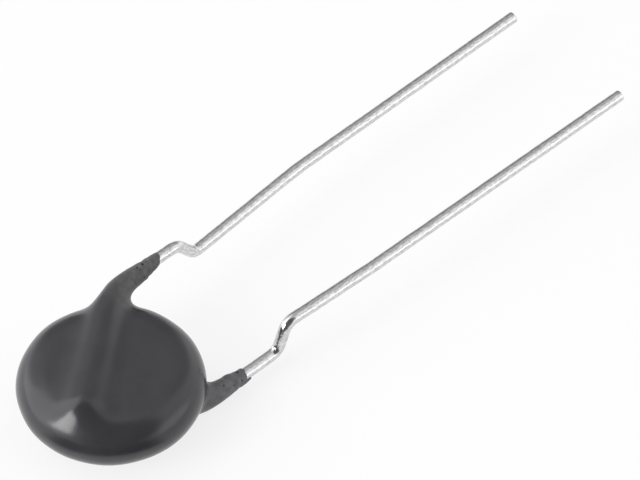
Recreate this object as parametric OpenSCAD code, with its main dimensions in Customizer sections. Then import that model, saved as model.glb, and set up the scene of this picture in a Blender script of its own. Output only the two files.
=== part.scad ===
// Radial-lead disc varistor: a zinc-oxide disc with a silver electrode on each face,
// a kinked tinned wire soldered to each electrode, and one dipped epoxy coating over
// the disc that runs out along both wires.
// The disc lies flat, the leads run along +Y, and the front lead is on the upper face.
// Lengths are millimetres and angles are degrees.

/* [Ceramic disc] */
// Diameter of the zinc-oxide disc
ceramic_d = 10; // [9.4:0.1:10.4]
// Thickness of the zinc-oxide disc
ceramic_t = 2.9; // [2.4:0.1:3.4]
// Bare ceramic left between an electrode and the edge of the disc
electrode_margin = 0.5; // [0.3:0.05:0.9]
// Thickness of a fired silver electrode
electrode_t = 0.03; // [0.02:0.01:0.08]

/* [Solder] */
// Solder left between a lead and its electrode
solder_film = 0.04; // [0.02:0.01:0.1]
// How far the solder bead stands out round the lead
solder_bulge = 0.25; // [0.15:0.01:0.3]
// Length of the solder bead along the lead
solder_length = 7.4; // [6:0.1:7.8]
// How far the bead wraps past the lead's inner end
solder_wrap = 0.35; // [0.2:0.05:0.5]

/* [Leads] */
// Diameter of the tinned wire
wire_d = 0.8; // [0.6:0.05:0.9]
// Distance between the two coated legs, centre to centre
leg_pitch = 8.57; // [7.6:0.01:8.8]
// How far the pair of legs sits to the right of the disc's middle line
leg_shift = -0.24; // [-0.4:0.01:0.2]
// How far inside the top edge of the coated disc a lead turns up into its leg
turn_inset = 1.9; // [1.5:0.1:2.2]
// Angle between the soldered length of a lead and its leg
face_angle = 38.5; // [30:0.5:42]
// Length of the soldered part of a lead, from that turn to its inner end
face_length = 9.4; // [8.6:0.1:10]
// Radius of that turn, on the wire's middle line
turn_r = 6; // [2:0.5:6.5]
// Height of the free leads above the disc's middle plane
lead_level = 0.15; // [-0.3:0.05:0.6]
// Distance from the top edge of the coated disc to the lead tips
lead_length = 35; // [28:0.5:50]
// Radius of the gentle bend in each free lead
long_bend_r = 30; // [10:1:60]

/* [Front lead] */
// Bare wire between the front leg's coating and the start of its kink
front_kink_gap = 1.4; // [1:0.1:2]
// Length over which the front lead steps down to the level of the free leads
front_kink_run = 1.4; // [1.3:0.1:2.4]
// Bend radius at the top of the front kink
front_top_bend_r = 1.2; // [0.8:0.1:1.3]
// Bend radius at the foot of the front kink
front_foot_bend_r = 0.9; // [0.6:0.05:0.9]
// Outward angle of the front lead after its kink
front_splay = 4.7; // [1:0.1:6]
// Distance from the front kink to the gentle bend
front_bend_gap = 9.7; // [7:0.1:12]
// Outward angle of the front lead's end
front_end_splay = 0.5; // [0:0.1:0.9]

/* [Back lead] */
// Bare wire between the back leg's coating and the start of its kink
back_kink_gap = 2.6; // [1.2:0.1:3]
// Length over which the back lead steps up to the level of the free leads
back_kink_run = 0.9; // [0.9:0.05:2]
// Bend radius at the foot of the back kink
back_foot_bend_r = 0.85; // [0.6:0.05:0.85]
// Bend radius at the top of the back kink
back_top_bend_r = 0.85; // [0.6:0.05:0.85]
// Outward angle of the back lead after its kink
back_splay = 2.4; // [1:0.1:5]
// Distance from the back kink to the gentle bend
back_bend_gap = 7.2; // [5:0.05:12]
// Outward angle of the back lead's end
back_end_splay = 0.7; // [0:0.1:0.9]

/* [Coating] */
// Coating over the electrodes
face_coat = 0.62; // [0.5:0.01:0.8]
// Coating outside the edge of the ceramic disc
rim_coat = 1; // [0.8:0.05:1.4]
// Coating over the leads where they cross the faces
ridge_coat = 0.42; // [0.38:0.01:0.6]
// Coating round the wire near the end of a leg
leg_end_coat = 0.11; // [0.08:0.01:0.2]
// Coating left at the very lip of a leg
lip_coat = 0.05; // [0.04:0.01:0.07]
// Length over which the lip of a leg rounds off
lip_length = 0.25; // [0.15:0.05:0.5]
// How far the front leg's coating runs past the top edge of the coated disc
front_leg_length = 2.3; // [1.7:0.1:3.5]
// How far the back leg's coating runs past the top edge of the coated disc
back_leg_length = 1.9; // [1.7:0.1:3.5]
// Width of the soft blend between the disc, its ridges and its legs
blend = 1.1; // [0.7:0.05:1.3]

/* [Hidden] */

// A side is 1 for the front, which faces up, and -1 for the back. Both sides are worked
// out as the front is, and the back is then turned half a turn about Y.
FRONT = 1;
BACK = -1;
round_fn = 96;
// How much thinner a bend is than a straight run, and how far it reaches into one
bend_thinning = 0.004;
bend_lap = 0.05;

wire_r = wire_d / 2;
electrode_d = ceramic_d - 2 * electrode_margin;
electrode_face = ceramic_t / 2 + electrode_t;
wire_z = electrode_face + solder_film + wire_r;
half_t = electrode_face + face_coat;
body_r = ceramic_d / 2 + rim_coat;
core_r = body_r - half_t;
ridge_r = wire_r + ridge_coat;
turn_y = body_r - turn_inset;
tip_y = body_r + lead_length;

function pick(side, front, back) = side == FRONT ? front : back;
function place(side, p) = [side * p.x, p.y, side * p.z];
function unit(v) = v / norm(v);
function mix(a, b, t) = a + (b - a) * t;
function clamp(t) = min(1, max(0, t));

// Wire route
function leg_x(side) = -leg_pitch / 2 + side * leg_shift;
function leg_end(side) = body_r + pick(side, front_leg_length, back_leg_length);
function turn_point(side) = [leg_x(side), turn_y, wire_z];
function inner_way() = [sin(face_angle), -cos(face_angle), 0];
function inner_end(side) = turn_point(side) + face_length * inner_way();

// Corners of one lead from its inner end to its tip, seen as on the front
function lead_corners(side) =
    let(
        x = leg_x(side),
        level = side * lead_level,
        kink_start = leg_end(side) + pick(side, front_kink_gap, back_kink_gap),
        kink_end = kink_start + pick(side, front_kink_run, back_kink_run),
        bend_y = kink_end + pick(side, front_bend_gap, back_bend_gap),
        bend_x = x - (bend_y - kink_end) * tan(pick(side, front_splay, back_splay)),
        tip_x = bend_x - (tip_y - bend_y) * tan(pick(side, front_end_splay, back_end_splay))
    )
    [
        inner_end(side),
        turn_point(side),
        [x, kink_start, wire_z],
        [x, kink_end, level],
        [bend_x, bend_y, level],
        [tip_x, tip_y, level]
    ];

function lead_radii(side) = [
    turn_r,
    pick(side, front_top_bend_r, back_foot_bend_r),
    pick(side, front_foot_bend_r, back_top_bend_r),
    long_bend_r
];

// How far a bend of radius r reaches back along each straight run from corner b
function reach(a, b, c, r) =
    let(turn = acos(clamp(unit(b - a) * unit(c - b))))
    r * tan(turn / 2);

module straight_run(a, b) {
    run = b - a;
    flat = norm([run.x, run.y]);
    translate(a)
        rotate([0, atan2(flat, run.z), atan2(run.y, run.x)])
            cylinder(h = norm(run), r = wire_r, $fn = round_fn);
}

// The bend at corner b of the runs a to b and b to c, as a slice of a ring. It is a hair
// thinner than the straight runs and reaches into both, so that they join as one wire.
module wire_bend(a, b, c, r) {
    way_in = unit(b - a);
    way_out = unit(c - b);
    turn = acos(clamp(way_in * way_out));
    lap = bend_lap / r * 180 / PI;
    axis = unit(cross(way_in, way_out));
    arm = cross(way_in, axis);
    centre = b - way_in * reach(a, b, c, r) - arm * r;
    multmatrix([
        [arm.x, way_in.x, axis.x, centre.x],
        [arm.y, way_in.y, axis.y, centre.y],
        [arm.z, way_in.z, axis.z, centre.z],
        [0, 0, 0, 1]
    ])
        rotate([0, 0, -lap])
            rotate_extrude(angle = turn + 2 * lap, $fn = round_fn)
                translate([r, 0])
                    circle(r = wire_r - bend_thinning, $fn = round_fn);
}

module wire(corners, radii) {
    last = len(corners) - 1;
    cut = [
        0,
        for (i = [1:last - 1]) reach(corners[i - 1], corners[i], corners[i + 1], radii[i - 1]),
        0
    ];
    for (i = [0:last - 1]) {
        way = unit(corners[i + 1] - corners[i]);
        straight_run(corners[i] + way * cut[i], corners[i + 1] - way * cut[i + 1]);
    }
    for (i = [1:last - 1])
        wire_bend(corners[i - 1], corners[i], corners[i + 1], radii[i - 1]);
}

// Coating skin, as the zero level of a blended distance field

// Middle line of the coating over one lead, with points round the turn
TURN_STEPS = 4;
function coat_line(side) =
    let(
        corner = turn_point(side),
        centre = corner + turn_r * [1, tan(face_angle / 2), 0]
    )
    [
        inner_end(side),
        for (i = [TURN_STEPS:-1:0])
            let(angle = face_angle * i / TURN_STEPS)
            centre - turn_r * [cos(angle), sin(angle), 0],
        [corner.x, leg_end(side) + wire_d, corner.z]
    ];

LINES = [coat_line(FRONT), coat_line(BACK)];
function line_of(side) = side == FRONT ? LINES[0] : LINES[1];

function to_segment(p, a, b) =
    let(ab = b - a, t = clamp((p - a) * ab / (ab * ab)))
    norm(p - a - ab * t);

function to_line(p, line) =
    min([for (i = [0:len(line) - 2]) to_segment(p, line[i], line[i + 1])]);

// Radius of the coating round a lead, full up to the rim and thinner along the leg
function tube_r(side, y) =
    let(
        lip_start = leg_end(side) - lip_length,
        along = clamp((y - turn_y) / (lip_start - turn_y)),
        lip = clamp((y - lip_start) / lip_length),
        body = mix(ridge_coat, leg_end_coat, along),
        lip_drop = (leg_end_coat - lip_coat) * (1 - sqrt(1 - lip * lip))
    )
    wire_r + body - lip_drop;

function tube_field(side, p) = to_line(place(side, p), line_of(side)) - tube_r(side, p.y);

function disc_field(p) =
    norm([max(norm([p.x, p.y]) - core_r, 0), p.z]) - half_t;

function soft_min(a, b) =
    let(h = max(blend - abs(a - b), 0) / blend)
    min(a, b) - h * h * blend / 4;

function skin_field(p) =
    soft_min(disc_field(p), min(tube_field(FRONT, p), tube_field(BACK, p)));

// The point where a ray from inside meets the skin, found by halving
function meet(from, way, near, far, halvings = 14) =
    let(middle = (near + far) / 2)
    halvings == 0 ? from + way * middle
    : skin_field(from + way * middle) < 0 ? meet(from, way, middle, far, halvings - 1)
    : meet(from, way, near, middle, halvings - 1);

// How steeply the field rises along X, Y and Z
SLOPE_STEP = 0.001;
function slope(p) = [
    for (axis = [[1, 0, 0], [0, 1, 0], [0, 0, 1]])
        (skin_field(p + SLOPE_STEP * axis) - skin_field(p - SLOPE_STEP * axis)) / (2 * SLOPE_STEP)
];

// A point moved onto the skin along that slope
function settle(p, times = 4) =
    times == 0 ? p : let(g = slope(p)) settle(p - g * skin_field(p) / (g * g), times - 1);

// Evenly spaced numbers from a to just short of b
function spaced(a, b, n) = [for (i = [0:n - 1]) mix(a, b, i / n)];

// Grid over the disc. Columns go round it and rows go over it from the top middle to the
// bottom middle. A window of the grid is left open for each leg to grow out of.
WINDOW_COLUMNS = 8;
GAP_COLUMNS = 16;
REST_COLUMNS = 60;
WINDOW_ROWS = 6;
FLAT_ROWS = 9;
SHOULDER_ROWS = 4;
EQUATOR_ROWS = 4;

// How far the upper row of a window stands out from the flat core, as a share of half_t
WINDOW_START = 0.75;
// How wide of a ridge a window reaches on its inner and outer side, as shares of blend
WINDOW_IN_BLEND = 1 / 2;
WINDOW_OUT_BLEND = 1 / 3;
// The furthest out from the middle line that a leg can cross the rim, as a share of body_r
RIM_LIMIT = 0.97;

function rim_angle(x) = acos(max(-RIM_LIMIT, x / body_r));
function window_in(side) = rim_angle(leg_x(side) + ridge_r + blend * WINDOW_IN_BLEND);
function window_out(side) =
    rim_angle(leg_x(side)) + (ridge_r + blend * WINDOW_OUT_BLEND) / body_r * 180 / PI;
window_top = atan2(half_t * WINDOW_START, wire_z + ridge_r);
window_foot = acos(clamp((wire_z - ridge_r - blend * WINDOW_IN_BLEND) / half_t));

// Directions of the columns
COLUMNS = [
    each spaced(180 - window_out(BACK), 180 - window_in(BACK), WINDOW_COLUMNS),
    each spaced(180 - window_in(BACK), window_in(FRONT), GAP_COLUMNS),
    each spaced(window_in(FRONT), window_out(FRONT), WINDOW_COLUMNS),
    each spaced(window_out(FRONT), 360 + 180 - window_out(BACK), REST_COLUMNS)
];

// Rows, each the radius that its rays start at and their angle from straight up
ROWS = [
    for (r = [1:FLAT_ROWS - 1]) [core_r * r / FLAT_ROWS, 0],
    for (a = spaced(0, window_top, SHOULDER_ROWS)) [core_r, a],
    for (a = spaced(window_top, window_foot, WINDOW_ROWS)) [core_r, a],
    for (a = spaced(window_foot, 180 - window_foot, EQUATOR_ROWS)) [core_r, a],
    for (a = spaced(180 - window_foot, 180 - window_top, WINDOW_ROWS)) [core_r, a],
    for (a = spaced(180 - window_top, 180, SHOULDER_ROWS)) [core_r, a],
    for (r = [0:FLAT_ROWS - 1]) [core_r * (1 - r / FLAT_ROWS), 180]
];

disc_reach = (wire_z + ridge_r) / cos(window_top) + blend / 4;

function disc_point(row, angle) =
    let(out = [cos(angle), sin(angle), 0])
    meet(out * row[0], out * sin(row[1]) + [0, 0, cos(row[1])], 0, disc_reach);

DISC_POINTS = [for (row = ROWS) for (angle = COLUMNS) disc_point(row, angle)];
POLES = [for (way = [1, -1]) meet([0, 0, 0], [0, 0, way], 0, disc_reach)];

function grid_index(row, column) = row * len(COLUMNS) + column % len(COLUMNS);

// Corners of a leg's window: its upper and lower row and its inner and outer column,
// with upper meant as it is on the front
WINDOW_TOP_ROW = FLAT_ROWS - 1 + SHOULDER_ROWS;
WINDOW_FOOT_ROW = WINDOW_TOP_ROW + WINDOW_ROWS;
BACK_FOOT_ROW = WINDOW_FOOT_ROW + EQUATOR_ROWS;
FRONT_IN_COLUMN = WINDOW_COLUMNS + GAP_COLUMNS;
WINDOWS = [
    [WINDOW_TOP_ROW, WINDOW_FOOT_ROW, FRONT_IN_COLUMN, FRONT_IN_COLUMN + WINDOW_COLUMNS],
    [BACK_FOOT_ROW + WINDOW_ROWS, BACK_FOOT_ROW, WINDOW_COLUMNS, 0]
];

function walk(a, b) = [for (i = [0:abs(b - a) - 1]) a + sign(b - a) * i];

// Grid indices once round a window
function window_loop(w) = [
    for (c = walk(w[2], w[3])) grid_index(w[0], c),
    for (r = walk(w[0], w[1])) grid_index(r, w[3]),
    for (c = walk(w[3], w[2])) grid_index(w[1], c),
    for (r = walk(w[1], w[0])) grid_index(r, w[2])
];

function in_window(row, column) =
    max([
        for (w = WINDOWS)
            row >= min(w[0], w[1]) && row < max(w[0], w[1])
            && column >= min(w[2], w[3]) && column < max(w[2], w[3]) ? 1 : 0
    ]) == 1;

// Rings that lead from a window to the first ring square to the rim
JOIN_RINGS = 3;
// Rings along a leg, each its height up the leg, the slant of its plane and how far the
// spread of its points has eased from the window's to an even one
TURN_RINGS = 8;
LEG_RINGS = 6;
LIP_RINGS = 3;
// Share of the leg's length at which the rings stand square to the leg
UPRIGHT_AT = 0.5;
// How far outside the rim the first ring stands, as a share of blend
FIRST_RING_BLEND = 1 / 5;
RING_POINTS = 2 * (WINDOW_COLUMNS + WINDOW_ROWS);

function leg_rings(side) =
    let(
        rim = rim_angle(leg_x(side)),
        first = (body_r + blend * FIRST_RING_BLEND - leg_x(side) * cos(rim)) / sin(rim),
        lip_start = leg_end(side) - lip_length,
        upright = mix(first, lip_start, UPRIGHT_AT)
    )
    [
        for (t = spaced(0, 1, TURN_RINGS)) [mix(first, upright, t), (rim - 90) * (1 - t), t],
        for (t = spaced(0, 1, LEG_RINGS)) [mix(upright, lip_start, t), 0, 1],
        for (t = [0:LIP_RINGS]) [lip_start + lip_length * sin(90 * t / LIP_RINGS), 0, 1]
    ];

// Angle of a vector round the leg, in a plane with that slant
function around(v, slant) = atan2(v.z, v.x * cos(slant) + v.y * sin(slant));

function leg_points(side, window) =
    let(
        loop = [for (i = window_loop(window)) DISC_POINTS[i]],
        rings = leg_rings(side),
        slant = rings[0][1],
        hub = [leg_x(side), rings[0][0], wire_z],
        seen = [for (p = loop) around(place(side, p) - hub, slant)],
        angles = [for (a = seen) a < seen[0] ? a + 360 : a],
        leg = [
            for (ring = rings)
                let(across = [cos(ring[1]), sin(ring[1]), 0], from = [leg_x(side), ring[0], wire_z])
                for (i = [0:RING_POINTS - 1])
                    let(
                        angle = mix(angles[i], angles[0] + 360 * i / RING_POINTS, ring[2]),
                        way = across * cos(angle) + [0, 0, sin(angle)]
                    )
                    meet(place(side, from), place(side, way), 0, 2 * ridge_r)
        ]
    )
    [
        for (k = [1:JOIN_RINGS])
            for (i = [0:RING_POINTS - 1]) settle(mix(loop[i], leg[i], k / (JOIN_RINGS + 1))),
        each leg
    ];

// Two triangles that close a four-sided patch
function patch(a, b, c, d) = [[a, b, c], [a, c, d]];

// Faces that join one ring of indices to the next
function band(from, to) = [
    for (i = [0:len(from) - 1])
        let(j = (i + 1) % len(from))
        each patch(from[i], from[j], to[j], to[i])
];

function ring_indices(start, k) = [for (i = [0:RING_POINTS - 1]) start + k * RING_POINTS + i];

function leg_faces(window, start, rings) = [
    each band(window_loop(window), ring_indices(start, 0)),
    for (k = [0:rings - 2]) each band(ring_indices(start, k), ring_indices(start, k + 1)),
    ring_indices(start, rings - 1)
];

module skin() {
    front = leg_points(FRONT, WINDOWS[0]);
    back = leg_points(BACK, WINDOWS[1]);
    n = len(COLUMNS);
    m = len(ROWS);
    pole = n * m;
    front_start = pole + len(POLES);
    back_start = front_start + len(front);
    polyhedron(
        points = [each DISC_POINTS, each POLES, each front, each back],
        faces = [
            for (r = [0:m - 2])
                for (c = [0:n - 1])
                    if (!in_window(r, c))
                        each patch(
                            grid_index(r, c),
                            grid_index(r, c + 1),
                            grid_index(r + 1, c + 1),
                            grid_index(r + 1, c)
                        ),
            for (c = [0:n - 1]) [pole, grid_index(0, c + 1), grid_index(0, c)],
            for (c = [0:n - 1]) [pole + 1, grid_index(m - 1, c), grid_index(m - 1, c + 1)],
            each leg_faces(WINDOWS[0], front_start, len(front) / RING_POINTS),
            each leg_faces(WINDOWS[1], back_start, len(back) / RING_POINTS)
        ]
    );
}

// Turns what is modelled as on the front to its own side
module on_side(side) {
    half_turns = side == FRONT ? 0 : 1;
    rotate([0, half_turns * 180, 0]) children();
}

module lead(side) {
    on_side(side) wire(lead_corners(side), lead_radii(side));
}

// Moves the part so that it rests on its back ridge, centred over the origin
lift = -min([for (p = DISC_POINTS) p.z]);
module rest() {
    translate([0, (body_r - tip_y) / 2, lift]) children();
}

module disc_layer(d, t, from) {
    translate([0, 0, from]) cylinder(h = t, d = d, $fn = round_fn);
}

// A round-ended bead along the lead, cut flat where it wets the electrode
module solder_blank(side) {
    r = wire_r + solder_bulge;
    on_side(side)
        difference() {
            translate(inner_end(side) + solder_wrap * inner_way())
                rotate([90, 0, 180 + face_angle])
                    rotate_extrude($fn = round_fn)
                        intersection() {
                            union() {
                                translate([0, r]) square([r, solder_length - 2 * r]);
                                translate([0, r]) circle(r = r, $fn = round_fn);
                                translate([0, solder_length - r]) circle(r = r, $fn = round_fn);
                            }
                            square([r, solder_length]);
                        }
            translate([-body_r, -body_r, electrode_face - wire_z])
                cube([2 * body_r, 2 * body_r, wire_z]);
        }
}

module solder_bead(side) {
    difference() {
        solder_blank(side);
        lead(side);
    }
}

module ceramic_shape() { disc_layer(ceramic_d, ceramic_t, -ceramic_t / 2); }

module electrode_shape(side) {
    disc_layer(electrode_d, electrode_t, side == FRONT ? ceramic_t / 2 : -electrode_face);
}

module coating() {
    color("#4a4a4c")
        rest()
            difference() {
                skin();
                ceramic_shape();
                for (side = [FRONT, BACK]) {
                    electrode_shape(side);
                    solder_blank(side);
                    lead(side);
                }
            }
}

module ceramic_disc() { color("#5d5a54") rest() ceramic_shape(); }
module front_electrode() { color("#dcdcda") rest() electrode_shape(FRONT); }
module back_electrode() { color("#dcdcda") rest() electrode_shape(BACK); }
module front_solder() { color("#b4b6b8") rest() solder_bead(FRONT); }
module back_solder() { color("#b4b6b8") rest() solder_bead(BACK); }
module front_lead() { color("#d0d1d2") rest() lead(FRONT); }
module back_lead() { color("#d0d1d2") rest() lead(BACK); }

coating();
ceramic_disc();
front_electrode();
back_electrode();
front_solder();
back_solder();
front_lead();
back_lead();
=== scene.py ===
import math

import bpy
import numpy as np
from mathutils import Matrix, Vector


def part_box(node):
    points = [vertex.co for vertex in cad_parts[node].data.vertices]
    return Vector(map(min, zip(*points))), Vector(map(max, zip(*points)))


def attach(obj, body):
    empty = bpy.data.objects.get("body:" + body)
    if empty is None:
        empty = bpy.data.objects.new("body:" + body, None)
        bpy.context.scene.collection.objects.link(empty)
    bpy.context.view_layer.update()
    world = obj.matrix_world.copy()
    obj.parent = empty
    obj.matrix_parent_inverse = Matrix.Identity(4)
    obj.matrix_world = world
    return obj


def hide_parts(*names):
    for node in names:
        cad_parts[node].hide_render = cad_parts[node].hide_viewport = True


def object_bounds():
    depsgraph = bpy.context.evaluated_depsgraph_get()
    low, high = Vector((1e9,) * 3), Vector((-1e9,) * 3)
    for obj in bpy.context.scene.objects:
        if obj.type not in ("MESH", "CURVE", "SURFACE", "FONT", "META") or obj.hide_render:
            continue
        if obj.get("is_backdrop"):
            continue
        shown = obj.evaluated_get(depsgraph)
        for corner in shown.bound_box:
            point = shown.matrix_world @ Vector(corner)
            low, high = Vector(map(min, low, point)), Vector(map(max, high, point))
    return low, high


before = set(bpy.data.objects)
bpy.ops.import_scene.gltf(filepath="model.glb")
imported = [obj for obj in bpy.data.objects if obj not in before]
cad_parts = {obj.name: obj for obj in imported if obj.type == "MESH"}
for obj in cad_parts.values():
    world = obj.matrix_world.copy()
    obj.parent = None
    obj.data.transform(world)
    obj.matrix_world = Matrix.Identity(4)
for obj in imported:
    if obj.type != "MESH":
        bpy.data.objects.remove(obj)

cad_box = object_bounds()

# Lengths here are millimetres, measured from the middle of the ceramic disc. The disc lies
# flat, the leads run along +Y, and the front lead is on the upper face. A side is 1 for the
# front and -1 for the back, which is worked out as the front is and then turned half a turn
# about Y.
METRE = 1000.0
FRONT, BACK = 1, -1
BODY = "root"


def box_of(node):
    """Lowest and highest corner of a CAD node, in millimetres of the part's frame."""
    low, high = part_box(node)
    return np.array(low) * METRE, np.array(high) * METRE


disc_low, disc_high = box_of("ceramic_disc")
CENTRE = (disc_low + disc_high) / 2
CERAMIC_R = (disc_high[0] - disc_low[0]) / 2
ELECTRODE_FACE = box_of("front_electrode")[1][2] - CENTRE[2]
TIP_Y = box_of("front_lead")[1][1] - CENTRE[1]

# Coated disc: the coat's thickness past the ceramic's rim, on its faces, over a soldered lead
# and at a leg's end, with its lip. A leg reaches LEG_LENGTH past the rim. Disc, ridges and
# legs blend over BLEND. A face bulges by CROWN, and its ridge sinks by RIDGE_SINK and blends
# over RIDGE_SPREAD more at the lead's inner end.
RIM_COAT = 1.0
FACE_COAT = 0.62
RIDGE_COAT = 0.42
LEG_END_COAT = 0.11
LIP_COAT = 0.05
LIP_LENGTH = 0.25
LEG_LENGTH = {FRONT: 2.3, BACK: 1.9}
BLEND = 1.1
CROWN = 0.05
RIDGE_SINK = 0.28
RIDGE_SPREAD = 0.9
# The dipped coat sits a little off the middle, is a trace fuller than its nominal radius and
# leaves its flat faces softly. Each leg leans off its nominal line, across and up. The lean
# grows from LEAN_RUN before the turn to the rim, and the leg's end keeps a share of it. A leg
# is slimmer than its nominal radius past the rim.
COAT_OFFSET = np.array([0.078, -0.056, 0])
COAT_SWELL = 0.085
SHOULDER_SOFTNESS = 0.6
LEAN = {FRONT: (0.14, 0.0), BACK: (0.06, -0.02)}
LEAN_KEPT = {FRONT: 0.5, BACK: 0.0}
LEAN_RUN = 1.5
LEG_SLIM = {FRONT: 0.03, BACK: 0.0}

# Leads: the legs stand LEG_PITCH apart, both moved across by LEG_SHIFT. TURN_INSET inside the
# rim a lead turns onto its electrode, on a film of solder, and crosses it for FACE_LENGTH at
# FACE_ANGLE to the leg. Past the coating it runs on for KINK_GAP, steps to LEAD_LEVEL above
# the disc's middle plane within KINK_RUN, leaves at SPLAY outwards and eases to END_SPLAY at
# a long bend BEND_GAP further on.
WIRE_R = 0.4
SOLDER_FILM = 0.04
LEG_PITCH = 8.57
LEG_SHIFT = -0.24
TURN_INSET = 1.9
TURN_R = 6.0
FACE_ANGLE = math.radians(38.5)
FACE_LENGTH = 9.4
LEAD_LEVEL = 0.15
LONG_BEND_R = 30.0
KINK_GAP = {FRONT: 1.4, BACK: 2.6}
KINK_RUN = {FRONT: 1.4, BACK: 0.9}
KINK_RADII = {FRONT: (1.2, 0.9), BACK: (0.85, 0.85)}
SPLAY = {FRONT: math.radians(4.7), BACK: math.radians(2.4)}
BEND_GAP = {FRONT: 9.7, BACK: 7.2}
END_SPLAY = {FRONT: math.radians(0.5), BACK: math.radians(0.7)}

# Radius and half the thickness of the coated disc, radius of the flat core inside it, height
# of a soldered wire's middle, radius of the coat round it, and where the wire turns
BODY_R = CERAMIC_R + RIM_COAT
HALF_T = ELECTRODE_FACE + FACE_COAT
CORE_R = BODY_R - HALF_T
WIRE_Z = ELECTRODE_FACE + SOLDER_FILM + WIRE_R
RIDGE_R = WIRE_R + RIDGE_COAT
TURN_Y = BODY_R - TURN_INSET
UP = np.array([0, 0, 1.0])


def unit(v):
    """Vectors at a length of 1."""
    return v / np.linalg.norm(v, axis=-1, keepdims=True)


def mix(a, b, t):
    """a where t is 0, b where it is 1 and in proportion between."""
    return a + (b - a) * t


def ramp(x, low, high):
    """0 below low, 1 above high and a smooth S between."""
    t = np.clip((x - low) / (high - low), 0, 1)
    return t * t * (3 - 2 * t)


def spaced(a, b, n):
    """n even steps from a to just short of b."""
    return a + (b - a) * np.arange(n) / n


def flip(side, p):
    """Half a turn about Y for the back side."""
    return p * np.array([side, 1.0, side])


# Shortest and longest wave of a ripple, as shares of its wavelength
WAVE_SPREAD = (0.7, 1.4)


def ripple(p, wavelength, waves, seed):
    """Sum of plane sine waves of random directions and phases, close to the wavelength and
    with a mean square of 1."""
    draw = np.random.default_rng(seed)
    ways = unit(draw.normal(size=(waves, 3)))
    lengths = wavelength * draw.uniform(*WAVE_SPREAD, waves)
    phases = draw.uniform(0, 2 * math.pi, waves)
    total = np.zeros(p.shape[:-1])
    for way, length, phase in zip(ways, lengths, phases):
        total += np.sin(2 * math.pi / length * (p @ way) + phase)
    return total * math.sqrt(2 / waves)


# Lead route

def leg_x(side):
    """How far across a leg stands, seen as on the front."""
    return -LEG_PITCH / 2 + side * LEG_SHIFT


def leg_end(side):
    """Where a leg's coating ends along Y."""
    return BODY_R + LEG_LENGTH[side]


def lead_corners(side):
    """Corners of one lead from its inner end to its tip, seen as on the front."""
    x = leg_x(side)
    level = side * LEAD_LEVEL
    kink_start = leg_end(side) + KINK_GAP[side]
    kink_end = kink_start + KINK_RUN[side]
    bend_y = kink_end + BEND_GAP[side]
    bend_x = x - (bend_y - kink_end) * math.tan(SPLAY[side])
    tip_x = bend_x - (TIP_Y - bend_y) * math.tan(END_SPLAY[side])
    turn = np.array([x, TURN_Y, WIRE_Z])
    inner_way = np.array([math.sin(FACE_ANGLE), -math.cos(FACE_ANGLE), 0])
    return np.array([
        turn + FACE_LENGTH * inner_way,
        turn,
        [x, kink_start, WIRE_Z],
        [x, kink_end, level],
        [bend_x, bend_y, level],
        [tip_x, TIP_Y, level],
    ])


def bent_path(corners, radii, step):
    """Straight runs joined by arcs: at a corner the arc's centre is off the inner side, and
    a point is the centre + radius * (cos t * arm + sin t * way in), for t up to the turn."""
    pieces = [corners[:1]]
    for a, b, c, r in zip(corners, corners[1:], corners[2:], radii):
        way_in = unit(b - a)
        way_out = unit(c - b)
        turn = math.acos(np.clip(way_in @ way_out, -1, 1))
        axis = unit(np.cross(way_in, way_out))
        arm = np.cross(way_in, axis)
        centre = b - way_in * r * math.tan(turn / 2) - arm * r
        t = np.linspace(0, turn, 2 + int(r * turn / step))[:, None]
        pieces.append(centre + r * (np.cos(t) * arm + np.sin(t) * way_in))
    pieces.append(corners[-1:])
    line = np.concatenate(pieces)
    along = np.concatenate([[0], np.cumsum(np.linalg.norm(np.diff(line, axis=0), axis=1))])
    even = np.linspace(0, along[-1], 2 + int(along[-1] / step))
    return np.stack([np.interp(even, along, line[:, k]) for k in range(3)], axis=1)


# Coating

def to_run(q, a, b):
    """Distance in plan from each point to a straight run."""
    run = b - a
    t = np.clip((q - a) @ run / (run @ run), 0, 1)
    return np.linalg.norm(q - a - t[..., None] * run, axis=-1)


def to_coat_line(side, p):
    """Distance to the coating's middle line over one lead, seen as on the front: the soldered
    run, an arc of radius TURN_R and the leg. Beside the arc it is | |q - centre| - TURN_R | in
    plan. The line's height and the leg's lean are taken off first."""
    lean_across, lean_up = LEAN[side]
    kept = mix(1, LEAN_KEPT[side], ramp(p[..., 1], BODY_R, leg_end(side)))
    lean = ramp(p[..., 1], TURN_Y - LEAN_RUN, BODY_R) * kept
    q = p[..., :2] - lean[..., None] * np.array([lean_across, 0])
    inner, turn = lead_corners(side)[:2, :2]
    end = np.array([turn[0], leg_end(side) + 2 * WIRE_R])
    way_in, way_out = unit(turn - inner), np.array([0, 1.0])
    cut = TURN_R * math.tan(math.acos(way_in @ way_out) / 2)
    first, last = turn - cut * way_in, turn + cut * way_out
    centre = last + TURN_R * np.array([math.copysign(1, inner[0] - turn[0]), 0])
    beside = ((q - first) @ way_in > 0) & ((q - last) @ way_out < 0)
    arc = np.abs(np.linalg.norm(q - centre, axis=-1) - TURN_R)
    runs = np.minimum(to_run(q, inner, first), to_run(q, last, end))
    plan = np.where(beside, np.minimum(arc, runs), runs)
    return np.hypot(plan, p[..., 2] - WIRE_Z - lean * lean_up)


def tube_r(side, y):
    """Radius of the coating round a lead: full up to the rim, thinner along the leg."""
    lip_start = leg_end(side) - LIP_LENGTH
    along = np.clip((y - TURN_Y) / (lip_start - TURN_Y), 0, 1)
    lip = np.clip((y - lip_start) / LIP_LENGTH, 0, 1)
    drop = (LEG_END_COAT - LIP_COAT) * (1 - np.sqrt(1 - lip * lip))
    sunk = RIDGE_SINK * ramp(-y, -TURN_Y, TURN_Y)
    slim = LEG_SLIM[side] * ramp(y, TURN_Y, BODY_R)
    return WIRE_R + mix(RIDGE_COAT, LEG_END_COAT, along) - drop - sunk - slim


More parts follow.
